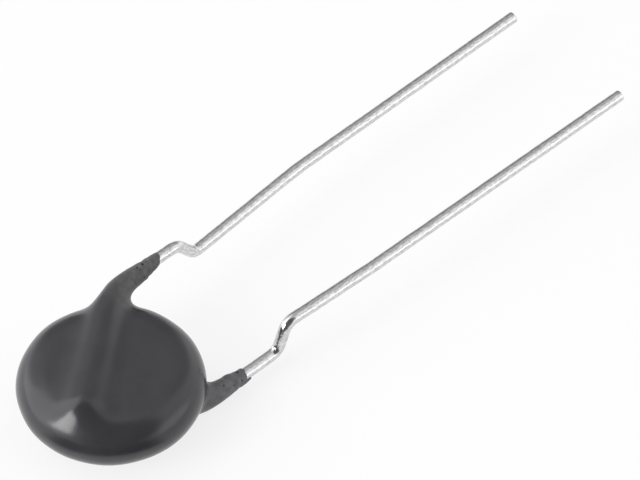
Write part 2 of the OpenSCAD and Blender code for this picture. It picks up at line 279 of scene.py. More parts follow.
# Unevenness of the skin everywhere and on the legs alone: height, wavelength, number of
# waves and seed
SKIN_WAVES = (0.008, 3.0, 12, 1)
LEG_WAVES = (0.02, 0.8, 20, 2)
LEG_WAVES_GROW = (BODY_R - 0.6, BODY_R + 0.8)


def wobble(p):
    """Small unevenness of the dipped skin, rougher along the legs."""
    height, *waves = SKIN_WAVES
    leg_height, *leg_waves = LEG_WAVES
    leg = ramp(p[..., 1], *LEG_WAVES_GROW)
    return height * ripple(p, *waves) + leg * leg_height * ripple(p, *leg_waves)


def crown_drop(p, from_core):
    """How far the skin falls below the middle of a face: CROWN * (r / core radius) squared,
    fading to nothing at the edge of the disc."""
    out = np.minimum(np.linalg.norm(p[..., :2], axis=-1) / CORE_R, 1)
    return CROWN * out ** 2 * (p[..., 2] / np.maximum(from_core, 1e-6)) ** 2


def skin_field(p):
    """Below 0 inside the coating: the pill-shaped disc and the two tubes, joined by a
    soft minimum min(a, b) - h * h * blend / 4, with h = max(blend - |a - b|, 0) / blend.
    The blend grows from the rim to the lead's inner end, where the ridge is broadest. The
    disc is what lies within half its thickness of a flat core, less the crown, and a point's
    reach x past the core's edge is eased in as (x + sqrt(x * x + softness squared)) / 2."""
    q = p - COAT_OFFSET
    reach = np.linalg.norm(q[..., :2], axis=-1) - CORE_R - COAT_SWELL
    outside = (reach + np.hypot(reach, SHOULDER_SOFTNESS)) / 2
    from_core = np.hypot(outside, q[..., 2])
    disc = from_core - HALF_T + crown_drop(q, from_core)
    tubes = [to_coat_line(s, flip(s, p)) - tube_r(s, p[..., 1]) for s in (FRONT, BACK)]
    tube = np.minimum(*tubes)
    blend = BLEND + RIDGE_SPREAD * ramp(-p[..., 1], -TURN_Y, TURN_Y)
    h = np.maximum(blend - np.abs(disc - tube), 0) / blend
    return np.minimum(disc, tube) - h * h * blend / 4 - wobble(p)


def meet(start, way, far, halvings=17):
    """Points where rays from inside meet the skin, found by halving."""
    near = np.zeros(np.broadcast_shapes(start.shape, way.shape)[:-1])
    far = np.full_like(near, far)
    for _ in range(halvings):
        middle = (near + far) / 2
        inside = skin_field(start + way * middle[..., None]) < 0
        near = np.where(inside, middle, near)
        far = np.where(inside, far, middle)
    return start + way * ((near + far) / 2)[..., None]


# Step over which a slope of the field is taken
SLOPE_STEP = 0.001


def settle(p, times=5):
    """Points moved onto the skin along the slope of its field."""
    for _ in range(times):
        value = skin_field(p)
        slope = [(skin_field(p + SLOPE_STEP * axis) - value) / SLOPE_STEP for axis in np.eye(3)]
        slope = np.stack(slope, axis=-1)
        p = p - slope * (value / np.sum(slope * slope, axis=-1))[..., None]
    return p


# Grid over the disc: columns go round it and rows go over it from the top middle to the
# bottom middle, with a window left open for each leg to grow out of. Join rings lead from a
# window's edge to the leg's first ring, turning rings from there to the first upright one.
WINDOW_COLUMNS = 32
GAP_COLUMNS = 60
REST_COLUMNS = 240
WINDOW_ROWS = 24
FLAT_ROWS = 30
SHOULDER_ROWS = 14
EQUATOR_ROWS = 14
JOIN_RINGS = 10
TURN_RINGS = 30
LEG_RINGS = 36
LIP_RINGS = 8
RING_POINTS = 2 * (WINDOW_COLUMNS + WINDOW_ROWS)

# Room that is left for the blend: from a ridge to its window's foot and inner side, to the
# outer side, from the rim to a leg's first ring, and past a ridge for the disc's rays
WINDOW_ROOM = BLEND / 2
OUTER_ROOM = BLEND / 3
ROOT_ROOM = BLEND / 5
RAY_ROOM = BLEND / 4

# A window's upper and lower edge as angles from straight up, the upper one at this share of
# the face's height beside the lead, and how far the disc's rays reach for the skin
WINDOW_SHARE = 0.75
WINDOW_TOP = math.atan2(HALF_T * WINDOW_SHARE, WIRE_Z + RIDGE_R)
WINDOW_FOOT = math.acos((WIRE_Z - RIDGE_R - WINDOW_ROOM) / HALF_T)
DISC_REACH = (WIRE_Z + RIDGE_R) / math.cos(WINDOW_TOP) + RAY_ROOM


def rim_angle(x):
    """Angle round the disc, from +X towards +Y, at which the rim is at x."""
    return math.acos(x / BODY_R)


def window_in(side):
    """Angle round the disc of the window's side that faces the other leg."""
    return rim_angle(leg_x(side) + RIDGE_R + WINDOW_ROOM)


def window_out(side):
    """Angle round the disc of the window's outer side."""
    return rim_angle(leg_x(side)) + (RIDGE_R + OUTER_ROOM) / BODY_R


def disc_grid():
    """Points (rows, columns, 3): a ray leaves the flat core at each row's radius and angle
    from straight up, in each column's direction, and stops at the skin."""
    back_out, back_in = math.pi - window_out(BACK), math.pi - window_in(BACK)
    columns = np.concatenate([
        spaced(back_out, back_in, WINDOW_COLUMNS),
        spaced(back_in, window_in(FRONT), GAP_COLUMNS),
        spaced(window_in(FRONT), window_out(FRONT), WINDOW_COLUMNS),
        spaced(window_out(FRONT), 2 * math.pi + back_out, REST_COLUMNS),
    ])
    slopes = np.concatenate([
        spaced(0, WINDOW_TOP, SHOULDER_ROWS),
        spaced(WINDOW_TOP, WINDOW_FOOT, WINDOW_ROWS),
        spaced(WINDOW_FOOT, math.pi - WINDOW_FOOT, EQUATOR_ROWS),
        spaced(math.pi - WINDOW_FOOT, math.pi - WINDOW_TOP, WINDOW_ROWS),
        spaced(math.pi - WINDOW_TOP, math.pi, SHOULDER_ROWS),
    ])
    flat = np.arange(1, FLAT_ROWS) / FLAT_ROWS * CORE_R
    starts = np.concatenate([flat, np.full(len(slopes), CORE_R), [CORE_R], flat[::-1]])
    slopes = np.concatenate([np.zeros(len(flat)), slopes, np.full(len(flat) + 1, math.pi)])
    out = np.stack([np.cos(columns), np.sin(columns), np.zeros_like(columns)], axis=1)[None]
    start = out * starts[:, None, None]
    way = out * np.sin(slopes)[:, None, None]
    way = way + UP * np.cos(slopes)[:, None, None]
    return meet(start, way, DISC_REACH)


def walk(a, b):
    """Whole numbers from a to just short of b, up or down."""
    return np.arange(a, b) if b > a else np.arange(a, b, -1)


def window_loop(window, n):
    """Grid indices once round a window, from its upper inner corner."""
    top, foot, inner, outer = window
    return np.concatenate([
        top * n + walk(inner, outer),
        walk(top, foot) * n + outer,
        foot * n + walk(outer, inner),
        walk(foot, top) * n + inner,
    ])


# The end of a leg's coating is moved by LIP_REACH at its longest side, which is LIP_AT, an
# angle about the leg from across to up, and falls short by a further LIP_CUT on the other
# side. Two waves round the leg make it ragged, and the shift fades in from LIP_FROM of the
# way up the leg. A wisp of coating runs on along the back lead.
LIP_REACH = {FRONT: -0.14, BACK: -0.26}
LIP_CUT = {FRONT: 0.88, BACK: 0.28}
LIP_AT = {FRONT: math.radians(95), BACK: math.radians(280)}
LIP_RAGGED = 0.02
LIP_WAVES = (3, 7)
LIP_FROM = 0.12
WISP_LENGTH = {FRONT: 0.0, BACK: 0.4}
WISP_AT = math.radians(164)
WISP_WIDTH = 0.15

# Share of the leg at which its rings stand upright, how far its rays reach for the skin, and
# the radii of the last rings as shares of the lip's
UPRIGHT_AT = 0.5
LEG_REACH = 2 * RIDGE_R
LIP_CLOSING = (0.93, 0.8, 0.5)


def leg_rings(side):
    """Each ring's height up the leg, the slant of its plane and its evenness."""
    rim = rim_angle(leg_x(side))
    first = (BODY_R + ROOT_ROOM - leg_x(side) * math.cos(rim)) / math.sin(rim)
    lip_start = leg_end(side) - LIP_LENGTH
    upright = mix(first, lip_start, UPRIGHT_AT)
    turning = spaced(0, 1, TURN_RINGS)
    lip = lip_start + LIP_LENGTH * np.sin(np.linspace(0, math.pi / 2, LIP_RINGS + 1))
    heights = np.concatenate([
        mix(first, upright, turning), spaced(upright, lip_start, LEG_RINGS), lip,
    ])
    straight = np.zeros(len(heights) - TURN_RINGS)
    slants = np.concatenate([(rim - math.pi / 2) * (1 - turning), straight])
    return heights, slants, np.concatenate([turning, straight + 1])


def lip_shift(side, angle):
    """How far the coating's end is moved along the leg: reach - cut * (1 - cos a) / 2 for
    the angle a from the longest side, a little ragged, and the wisp as a narrow bell."""
    shift = LIP_REACH[side] - LIP_CUT[side] * (1 - np.cos(angle - LIP_AT[side])) / 2
    few, many = LIP_WAVES
    shift = shift + LIP_RAGGED * (np.sin(few * angle + side) + np.sin(many * angle))
    turn = np.angle(np.exp(1j * (angle - WISP_AT)))
    return shift + WISP_LENGTH[side] * np.exp(-(turn / WISP_WIDTH) ** 2)


def leg_grid(side, loop_points):
    """Points (rings, round, 3): rays leave the leg's middle line and stop at the skin. The
    last rings run in to the wire and end in a point inside it."""
    heights, slants, evenness = leg_rings(side)
    # Angles of the window's points about the leg, and the even ones that the rings turn to
    hub = np.array([leg_x(side), heights[0], WIRE_Z])
    seen = flip(side, loop_points) - hub
    cross = seen[:, 0] * math.cos(slants[0]) + seen[:, 1] * math.sin(slants[0])
    angles = np.arctan2(seen[:, 2], cross)
    angles = np.where(angles < angles[0], angles + 2 * math.pi, angles)
    even = angles[0] + 2 * math.pi * np.arange(RING_POINTS) / RING_POINTS
    turned = mix(angles[None], even[None], evenness[:, None])
    # The rays, each ring's in its own plane
    across = np.stack([np.cos(slants), np.sin(slants), np.zeros_like(slants)], axis=1)
    way = across[:, None] * np.cos(turned)[..., None]
    way = way + UP * np.sin(turned)[..., None]
    starts = np.stack([
        np.full(len(heights), leg_x(side)), heights, np.full(len(heights), WIRE_Z),
    ], axis=1)[:, None]
    points = flip(side, meet(flip(side, starts), flip(side, way), LEG_REACH))
    # The lip, closed on the wire and drawn along it
    middle = starts[-1, 0]
    rim = points[-1] - middle
    inner = [middle + rim * share for share in LIP_CLOSING]
    points = np.concatenate([points, np.array(inner)])
    along = ramp(points[..., 1], mix(BODY_R, leg_end(side), LIP_FROM), leg_end(side))
    points[..., 1] += along * lip_shift(side, even)
    points = flip(side, points)
    # The rings that join the window's edge to the first ring
    shares = (np.arange(1, JOIN_RINGS + 1) / (JOIN_RINGS + 1))[:, None, None]
    join = settle(mix(loop_points[None], points[:1], shares))
    return np.concatenate([join, points]), flip(side, middle)


def ring_quads(indices):
    """Quads between neighbouring closed rings of indices (rings, round)."""
    beside = np.roll(indices, -1, axis=1)
    corners = [indices[:-1], indices[1:], beside[1:], beside[:-1]]
    return np.stack(corners, axis=-1).reshape(-1, 4)


def fan(ring, middle):
    """Triangles between a closed ring of indices and the index of one more point."""
    return np.stack([ring, np.roll(ring, -1), np.full(len(ring), middle)], axis=1)


def add_object(name, data, axes=None, place=None):
    """A new object in the scene. Its three axes and its place are the columns of its
    matrix, and without them it stays at the origin, unturned."""
    thing = bpy.data.objects.new(name, data)
    if axes is not None:
        matrix = np.eye(4)
        matrix[:3] = np.stack([*axes, place], axis=1)
        thing.matrix_world = Matrix(matrix.tolist())
    bpy.context.scene.collection.objects.link(thing)
    return thing


def make_mesh(name, points, quads, triangles, uv=None):
    """A smooth-shaded object from points in millimetres about the disc's middle."""
    mesh = bpy.data.meshes.new(name)
    corners = np.concatenate([quads.ravel(), triangles.ravel()]).astype(np.int32)
    sizes = np.concatenate([np.full(len(quads), 4), np.full(len(triangles), 3)])
    mesh.vertices.add(len(points))
    mesh.vertices.foreach_set("co", ((points + CENTRE) / METRE).astype(np.float32).ravel())
    mesh.loops.add(len(corners))
    mesh.loops.foreach_set("vertex_index", corners)
    mesh.polygons.add(len(sizes))
    mesh.polygons.foreach_set("loop_start", (np.cumsum(sizes) - sizes).astype(np.int32))
    mesh.polygons.foreach_set("use_smooth", np.ones(len(sizes), bool))
    mesh.update()
    if uv is not None:
        layer = mesh.uv_layers.new(name="length")
        layer.data.foreach_set("uv", uv.astype(np.float32).ravel())
    mesh.validate()
    return add_object(name, mesh)


# The coating's attribute that says where the finish of the legs lies
LEG_SHARE = "leg_share"
LEG_FADE = (-4.2, 0.2)
LEG_SKIRT = (0.1, 0.9)


def leg_share(p):
    """1 on the legs and 0 on the disc: it grows along LEG_FADE, measured from the rim, and
    fades out from a leg's own surface over LEG_SKIRT."""
    off = [to_coat_line(s, flip(s, p)) - tube_r(s, p[..., 1]) for s in (FRONT, BACK)]
    low, high = (BODY_R + y for y in LEG_FADE)
    return ramp(p[..., 1], low, high) * (1 - ramp(np.minimum(*off), *LEG_SKIRT))


def window_places():
    """Each window's top and foot row and its inner and outer column in the disc's grid. The
    back one hangs below the rim, so its rows and columns run the other way."""
    top = FLAT_ROWS - 1 + SHOULDER_ROWS
    foot = top + WINDOW_ROWS
    back_foot = foot + EQUATOR_ROWS
    inner = WINDOW_COLUMNS + GAP_COLUMNS
    return {
        FRONT: (top, foot, inner, inner + WINDOW_COLUMNS),
        BACK: (back_foot + WINDOW_ROWS, back_foot, WINDOW_COLUMNS, 0),
    }


def make_coating():
    """One closed skin: the disc's grid without its windows, a leg's rings from each."""
    disc = disc_grid()
    m, n = disc.shape[:2]
    grid = np.arange(m * n).reshape(m, n)
    windows = window_places()
    kept = np.ones((m - 1, n), bool)
    for top, foot, inner, outer in windows.values():
        kept[min(top, foot):max(top, foot), min(inner, outer):max(inner, outer)] = False
    poles = meet(np.zeros((2, 3)), np.stack([UP, -UP]), DISC_REACH)
    points = [disc.reshape(-1, 3), poles]
    quads = [ring_quads(grid)[kept.ravel()]]
    triangles = [fan(grid[0], m * n), fan(grid[-1][::-1], m * n + 1)]
    start = m * n + 2
    for side, window in windows.items():
        loop = window_loop(window, n)
        rings, cap = leg_grid(side, points[0][loop])
        middle = start + rings.shape[0] * RING_POINTS
        indices = np.arange(start, middle).reshape(-1, RING_POINTS)
        quads.append(ring_quads(np.concatenate([loop[None], indices])))
        triangles.append(fan(indices[-1][::-1], middle))
        points += [rings.reshape(-1, 3), cap[None]]
        start = middle + 1
    points = np.concatenate(points)
    coating = make_mesh("epoxy_coating", points, np.concatenate(quads), np.concatenate(triangles))
    shares = coating.data.attributes.new(LEG_SHARE, "FLOAT", "POINT")
    shares.data.foreach_set("value", leg_share(points).astype(np.float32))
    return coating


# Leads

WIRE_STEP = 0.1
WIRE_ROUND = 40
# Unevenness of the tin: height, wavelength, number of waves and seed
TIN_WAVES = (0.004, 1.3, 16, 5)
# The cut edge's rounding, the rings that make it, each with its share of the wire's radius
# and of the rounding, and the run over which the wire is drawn back by as much
TIP_ROUND = 0.05
TIP_RINGS = ((0.97, 0.6), (0.88, 1.0), (0.5, 1.0))
TIP_RUN = 1.0


def length_uv(points):
    """UV of the quads between a wire's rings (rings, round, 3), in millimetres: u goes round
    the wire and v along it. The seam's column ends a full turn on, so no quad wraps."""
    steps = np.linalg.norm(np.diff(points[:, 0], axis=0), axis=1)
    along = np.concatenate([[0], np.cumsum(steps)])
    turn = np.arange(WIRE_ROUND + 1) / WIRE_ROUND * 2 * math.pi * WIRE_R
    u = np.stack([turn[:-1], turn[:-1], turn[1:], turn[1:]], axis=-1)
    v = np.stack([along[:-1], along[1:], along[1:], along[:-1]], axis=-1)
    u, v = np.broadcast_arrays(u[None], v[:, None])
    return np.stack([u, v], axis=-1).reshape(-1, 2)


def make_lead(name, side):
    """A circle carried along the lead's middle line, with a slightly uneven tinned skin and
    a square-cut tip whose edge is just rounded."""
    path = bent_path(lead_corners(side), [TURN_R, *KINK_RADII[side], LONG_BEND_R], WIRE_STEP)
    way = unit(np.gradient(path, axis=0))
    across = unit(np.cross(way, UP))
    over = np.cross(across, way)
    angle = 2 * math.pi * np.arange(WIRE_ROUND) / WIRE_ROUND
    ring = across[:, None] * np.cos(angle)[:, None] + over[:, None] * np.sin(angle)[:, None]
    height, wavelength, waves, seed = TIN_WAVES
    uneven = ripple(path[:, None] + ring * WIRE_R, wavelength, waves, seed + side)
    points = path[:, None] + ring * (WIRE_R + height * uneven)[..., None]
    tip = path[-1]
    ends = [points]
    for share, push in TIP_RINGS:
        ends.append((tip + (points[-1] - tip) * share + way[-1] * TIP_ROUND * push)[None])
    points = np.concatenate(ends)
    points[:, :, 1] -= ramp(points[:, :, 1], TIP_Y - TIP_RUN, TIP_Y) * TIP_ROUND
    indices = np.arange(len(points) * WIRE_ROUND).reshape(-1, WIRE_ROUND)
    triangles = np.concatenate([
        fan(indices[0], indices.size), fan(indices[-1][::-1], indices.size + 1),
    ])
    middles = np.stack([points[0].mean(axis=0), points[-1].mean(axis=0)])
    uv = np.concatenate([length_uv(points), np.zeros((triangles.size, 2))])
    all_points = np.concatenate([points.reshape(-1, 3), middles])
    return make_mesh(name, flip(side, all_points), ring_quads(indices), triangles, uv)


# Materials

# Each finish's colours, from its darkest clouds to its lightest, and its clouds' scale: the
# number of clouds to a metre, or to a millimetre along the wire
GLOSSY_EPOXY = ((0.0372, 0.0368, 0.0415), (0.0422, 0.0418, 0.0468))
GLOSSY_CLOUDS = 500
FRONT_LEG_EPOXY = ((0.08, 0.08, 0.082), (0.12, 0.12, 0.122))
# The back leg's colours are painted lighter than the front's, for light that does not reach it.
BACK_LEG_EPOXY_PAINTED_LIGHTER = ((0.122, 0.121, 0.13), (0.18, 0.179, 0.191))
LEG_CLOUDS = 2600
TIN = ((0.5, 0.5, 0.51), (0.77, 0.77, 0.775))
TIN_MARKS = 9
TIN_SWELLS = 5

# Pale specks and dark pits of the legs, the pits' near-black being painted shade inside them:
# cells to a metre, radius of the biggest full spot and of its soft edge as shares of a cell,
# and grey. They lie where the legs' share is past the next value.
LEG_SPECKS_AND_PIT_SHADE = ((2100, 0.16, 0.26, 0.2), (3000, 0.26, 0.36, 0.014))
SPOTTED_FROM = 0.8

# Stretch of X over which the front leg's colours give way to the back leg's painted-lighter
# ones, in metres
BETWEEN_LEGS = (-0.001, 0.001)

# Surface grain of the epoxy, roughness of each finish, stretch of the tin's marks along the
# wire, and heights in metres
EPOXY_GRAIN = 9000
EPOXY_GRAIN_HEIGHT = 0.0000025
GLOSSY_ROUGHNESS = (0.16, 0.22)
LEG_ROUGHNESS = 0.5
TIN_ROUGHNESS = (0.12, 0.2)
TIN_MARK_STRETCH = 0.3
TIN_MARK_HEIGHT = 0.000004
TIN_SWELL_HEIGHT = 0.000012

# Inner parts: darkest and lightest colour, clouds to a metre, least roughness and metal
INNER_FINISHES = {
    "zinc_oxide": ((0.09, 0.085, 0.075), (0.13, 0.125, 0.11), 900, 0.6, 0.0),
    "fired_silver": ((0.66, 0.66, 0.65), (0.78, 0.78, 0.77), 1500, 0.4, 1.0),
    "solder": ((0.4, 0.41, 0.42), (0.5, 0.51, 0.52), 700, 0.25, 1.0),
}
INNER_RELIEF = 0.00001
INNER_ROUGHNESS_SPREAD = 0.15
INNER_PARTS = {
    "ceramic_disc": "zinc_oxide",
    "front_electrode": "fired_silver",
    "back_electrode": "fired_silver",
    "front_solder": "solder",
    "back_solder": "solder",
}


def new_material(name):
    """A material, its nodes and links, and its Principled shader."""
    material = bpy.data.materials.new(name)
    material.use_nodes = True
    nodes = material.node_tree.nodes
    return material, nodes, material.node_tree.links, nodes["Principled BSDF"]


def bare_material(name):
    """A material without a shader yet, and the socket that its shader goes to."""
    material, nodes, links, _ = new_material(name)
    nodes.clear()
    return material, nodes, links, nodes.new("ShaderNodeOutputMaterial").inputs["Surface"]


def spread(nodes, links, value, low, high, to_low=0.0, to_high=1.0):
    """The value carried from low..high to to_low..to_high, and held at the ends."""
    node = nodes.new("ShaderNodeMapRange")
    node.inputs["From Min"].default_value = low
    node.inputs["From Max"].default_value = high
    node.inputs["To Min"].default_value = to_low
    node.inputs["To Max"].default_value = to_high
    links.new(value, node.inputs["Value"])
    return node.outputs["Result"]


def combine(nodes, links, operation, a, b):
    """Two values put together by one operation, such as DIVIDE or MAXIMUM."""
    node = nodes.new("ShaderNodeMath")
    node.operation = operation
    links.new(a, node.inputs[0])
    links.new(b, node.inputs[1])
    return node.outputs[0]


# How much finer than the spots the swirl of their outlines is, and how far it pushes them as
# a share of a cell
SWIRL_FINENESS = 2.5
SWIRL_PUSH = 0.35


def spots(nodes, links, vector, scale, core, edge):
    """1 in small spots of uneven size and outline, at most one in each cell of a Voronoi
    pattern, and 0 outside."""
    swirl = nodes.new("ShaderNodeTexNoise")
    swirl.inputs["Scale"].default_value = scale * SWIRL_FINENESS
    links.new(vector, swirl.inputs["Vector"])
    push = nodes.new("ShaderNodeVectorMath")
    push.operation = "SCALE"
    push.inputs["Scale"].default_value = SWIRL_PUSH / scale
    links.new(swirl.outputs["Color"], push.inputs[0])
    moved = nodes.new("ShaderNodeVectorMath")
    links.new(vector, moved.inputs[0])
    links.new(push.outputs[0], moved.inputs[1])
    cell = nodes.new("ShaderNodeTexVoronoi")
    cell.inputs["Scale"].default_value = scale
    links.new(moved.outputs[0], cell.inputs["Vector"])
    size = nodes.new("ShaderNodeSeparateColor")
    links.new(cell.outputs["Color"], size.inputs[0])
    ratio = combine(nodes, links, "DIVIDE", cell.outputs["Distance"], size.outputs[0])
    return spread(nodes, links, ratio, edge, core)


def blend_colours(nodes, links, factor, a, b):
    """Colour a where the factor is 0 and colour b where it is 1."""
    node = nodes.new("ShaderNodeMix")
    node.data_type = "RGBA"
    for socket, value in ((node.inputs[6], a), (node.inputs[7], b)):
        if isinstance(value, tuple):
            socket.default_value = (*value, 1)
        else:
            links.new(value, socket)
    links.new(factor, node.inputs[0])
    return node.outputs[2]


def blend_values(nodes, links, factor, a, b):
    """Value a where the factor is 0 and value b where it is 1."""
    node = nodes.new("ShaderNodeMix")
    for socket, value in ((node.inputs[2], a), (node.inputs[3], b)):
        if isinstance(value, (int, float)):
            socket.default_value = value
        else:
            links.new(value, socket)
    links.new(factor, node.inputs[0])
    return node.outputs[0]


# Clouds that all finishes share: levels of detail, their strength, and the noise's values at
# which the darkest and the lightest clouds begin
CLOUD_DETAIL = 4
CLOUD_ROUGHNESS = 0.55
CLOUD_EDGES = (0.35, 0.65)


def cloudy_effect():
    """The effect that all finishes share: soft clouds blend two colours, give a mask and
    raise the surface by a height in metres."""
    group = bpy.data.node_groups.new("cloudy_finish", "ShaderNodeTree")
    for name, kind in (
        ("Place", "Vector"), ("Scale", "Float"), ("Dark", "Color"), ("Light", "Color"),
        ("Height", "Float"), ("Surface", "Vector"),
    ):
        group.interface.new_socket(name=name, in_out="INPUT", socket_type="NodeSocket" + kind)
    for name, kind in (("Colour", "Color"), ("Mask", "Float"), ("Normal", "Vector")):
        group.interface.new_socket(name=name, in_out="OUTPUT", socket_type="NodeSocket" + kind)
    nodes, links = group.nodes, group.links
    given = nodes.new("NodeGroupInput").outputs
    result = nodes.new("NodeGroupOutput").inputs
    clouds = nodes.new("ShaderNodeTexNoise")
    clouds.inputs["Detail"].default_value = CLOUD_DETAIL
    clouds.inputs["Roughness"].default_value = CLOUD_ROUGHNESS
    links.new(given["Place"], clouds.inputs["Vector"])
    links.new(given["Scale"], clouds.inputs["Scale"])
    mask = spread(nodes, links, clouds.outputs["Fac"], *CLOUD_EDGES)
    raised = nodes.new("ShaderNodeBump")
    links.new(clouds.outputs["Fac"], raised.inputs["Height"])
    links.new(given["Height"], raised.inputs["Distance"])
    links.new(given["Surface"], raised.inputs["Normal"])
    links.new(blend_colours(nodes, links, mask, given["Dark"], given["Light"]), result["Colour"])
    links.new(mask, result["Mask"])
    links.new(raised.outputs["Normal"], result["Normal"])
    return group


CLOUDY = cloudy_effect()


def cloudy(nodes, links, place, scale, dark=0.0, light=1.0, height=0.0, surface=None):
    """Outputs of the shared effect, each grey or colour given as one number or three."""
    node = nodes.new("ShaderNodeGroup")
    node.node_tree = CLOUDY
    links.new(place, node.inputs["Place"])
    node.inputs["Scale"].default_value = scale
    for name, colour in (("Dark", dark), ("Light", light)):
        node.inputs[name].default_value = (*np.broadcast_to(colour, 3), 1)
    node.inputs["Height"].default_value = height
    if surface is None:
        surface = nodes.new("ShaderNodeNewGeometry").outputs["Normal"]
    links.new(surface, node.inputs["Surface"])
    return node.outputs


def leg_colour(nodes, links, place, leg):
    """Dull stained epoxy, painted lighter on the back leg for light that does not reach it,
    with pale specks and with pits painted near-black as the shade inside them on top.
    """
    front = cloudy(nodes, links, place, LEG_CLOUDS, *FRONT_LEG_EPOXY)
    back = cloudy(nodes, links, place, LEG_CLOUDS, *BACK_LEG_EPOXY_PAINTED_LIGHTER)
    split = nodes.new("ShaderNodeSeparateXYZ")
    links.new(place, split.inputs[0])
    # The back leg takes colours painted lighter, for light that does not reach it.
    on_back_painted_lighter = spread(nodes, links, split.outputs["X"], *BETWEEN_LEGS)
    dull = blend_colours(nodes, links, on_back_painted_lighter, front["Colour"], back["Colour"])
    spotted = spread(nodes, links, leg, SPOTTED_FROM, 1)
    # The near-black spots are painted shade inside pits that the mesh does not hollow out.
    for scale, core, edge, grey in LEG_SPECKS_AND_PIT_SHADE:
        found = spots(nodes, links, place, scale, core, edge)
        found = blend_values(nodes, links, spotted, 0, found)
        dull = blend_colours(nodes, links, found, dull, (grey, grey, grey))
    return dull


def epoxy_material():
    """Dark grey epoxy, glossy on the disc and dull and specked along the legs, with painted
    shade in the legs' pits and the back leg painted lighter.
    """
    material, nodes, links, shader = new_material("dark_grey_epoxy")
    place = nodes.new("ShaderNodeTexCoord").outputs["Object"]
    mask = nodes.new("ShaderNodeAttribute")
    mask.attribute_name = LEG_SHARE
    leg = mask.outputs["Fac"]
    glossy = cloudy(nodes, links, place, GLOSSY_CLOUDS, *GLOSSY_EPOXY)
    dull = leg_colour(nodes, links, place, leg)
    colour = blend_colours(nodes, links, leg, glossy["Colour"], dull)
    links.new(colour, shader.inputs["Base Color"])
    sheen = spread(nodes, links, glossy["Mask"], 0, 1, *GLOSSY_ROUGHNESS)
    links.new(blend_values(nodes, links, leg, sheen, LEG_ROUGHNESS), shader.inputs["Roughness"])
    grain = cloudy(nodes, links, place, EPOXY_GRAIN, height=EPOXY_GRAIN_HEIGHT)
    links.new(grain["Normal"], shader.inputs["Normal"])
    return material


def tin_material():
    """Tinned wire with fine drawing marks along it and slow swells in the tin."""
    material, nodes, links, shader = new_material("tinned_wire")
    shader.inputs["Metallic"].default_value = 1.0
    place = nodes.new("ShaderNodeTexCoord").outputs["UV"]
    stretch = nodes.new("ShaderNodeMapping")
    stretch.inputs["Scale"].default_value = (1.0, TIN_MARK_STRETCH, 1.0)
    links.new(place, stretch.inputs["Vector"])
    marks = cloudy(nodes, links, stretch.outputs["Vector"], TIN_MARKS, *TIN, TIN_MARK_HEIGHT)
    swells = cloudy(
        nodes, links, place, TIN_SWELLS, height=TIN_SWELL_HEIGHT, surface=marks["Normal"]
    )
    links.new(marks["Colour"], shader.inputs["Base Color"])
    rough = spread(nodes, links, swells["Mask"], 0, 1, *TIN_ROUGHNESS)
    links.new(rough, shader.inputs["Roughness"])
    links.new(swells["Normal"], shader.inputs["Normal"])
    return material


def inner_material(name, dark, light, scale, roughness, metallic):
    """A plain finish of a hidden part, with soft clouds and a slight relief."""
    material, nodes, links, shader = new_material(name)
    shader.inputs["Metallic"].default_value = metallic
    place = nodes.new("ShaderNodeTexCoord").outputs["Object"]
    clouds = cloudy(nodes, links, place, scale, dark, light, INNER_RELIEF)
    links.new(clouds["Colour"], shader.inputs["Base Color"])
    roughest = roughness + INNER_ROUGHNESS_SPREAD
    rough = spread(nodes, links, clouds["Mask"], 0, 1, roughness, roughest)
    links.new(rough, shader.inputs["Roughness"])
    links.new(clouds["Normal"], shader.inputs["Normal"])
    return material


# Stage, light and camera

# The camera's view of the disc, fitted to the photograph: its direction, its roll, the
# image point of the disc's middle, the scale there and the distance and sensor in
# millimetres. The camera sees what lies from NEAREST to FARTHEST, in metres.
VIEW_AZIMUTH = 47.92
VIEW_ELEVATION = 48.08
VIEW_ROLL = math.radians(-1.16)
IMAGE_W, IMAGE_H = 640, 480
DISC_PX = (111.10, 383.09)
PX_PER_MM = 15.823
VIEW_DISTANCE = 300.0
SENSOR = 36.0
NEAREST, FARTHEST = 0.01, 10

# The floor: half its width in metres, its grey in the lamps' light, and the two parts that
# make it up to the camera and in reflections, a glow and a grey that takes the shadow
FLOOR_REACH = 3.0
FLOOR_COLOUR = 0.8
FLOOR_GLOW = 0.8
FLOOR_SHADED = 0.2

# Brightness of the studio, and its fields: azimuth and elevation of the middle, inner and
# outer angle of the soft edge, and strength
STUDIO_LEVEL = 1.15
STUDIO = (
    (180, 78, 5, 35, 0.75),
    (-50, 28, 22, 52, 2.05),
    (125, 32, 14, 32, 1.15),
    (120, 5, 14, 26, 1.8),
    (-102, 30, 13, 32, 0.74),
    (-152, 42, 14, 35, 0.57),
    (-128, 10, 16, 37, 0.3),
    (48, 38, 38, 58, 0.13),
)

# The black card in front of the part: its direction and the angles of its soft sides from
# there, then its near edge, that edge's softness, its far end and its height in metres
FLAG_AZIMUTH = 41
FLAG_INNER = math.radians(36)
FLAG_OUTER = math.radians(58)
FLAG_NEAR = 0.0082
FLAG_EDGE = 0.003
FLAG_FAR = 0.6
FLAG_LIFT = 0.00005
FLAG_GREY = 0.05

def direction(azimuth, elevation):
    """Unit vector from the object, with azimuth 0 along -Y and turning towards +X."""
    a, e = math.radians(azimuth), math.radians(elevation)
    return np.array([math.sin(a) * math.cos(e), -math.cos(a) * math.cos(e), math.sin(e)])


def flat_sheet(name, near, far, half_width, axes=None, place=None):
    """A flat sheet at height 0, from near to far along X and half its width to each side."""
    mesh = bpy.data.meshes.new(name)
    corners = [
        (near, -half_width, 0), (far, -half_width, 0),
        (far, half_width, 0), (near, half_width, 0),
    ]
    mesh.from_pydata(corners, [], [(0, 1, 2, 3)])
    return add_object(name, mesh, axes, place)


def grey_shader(nodes, kind, grey):
    """Output of a diffuse or emission shader in one grey."""
    node = nodes.new(kind)
    node.inputs["Color"].default_value = (grey, grey, grey, 1)
    return node.outputs[0]


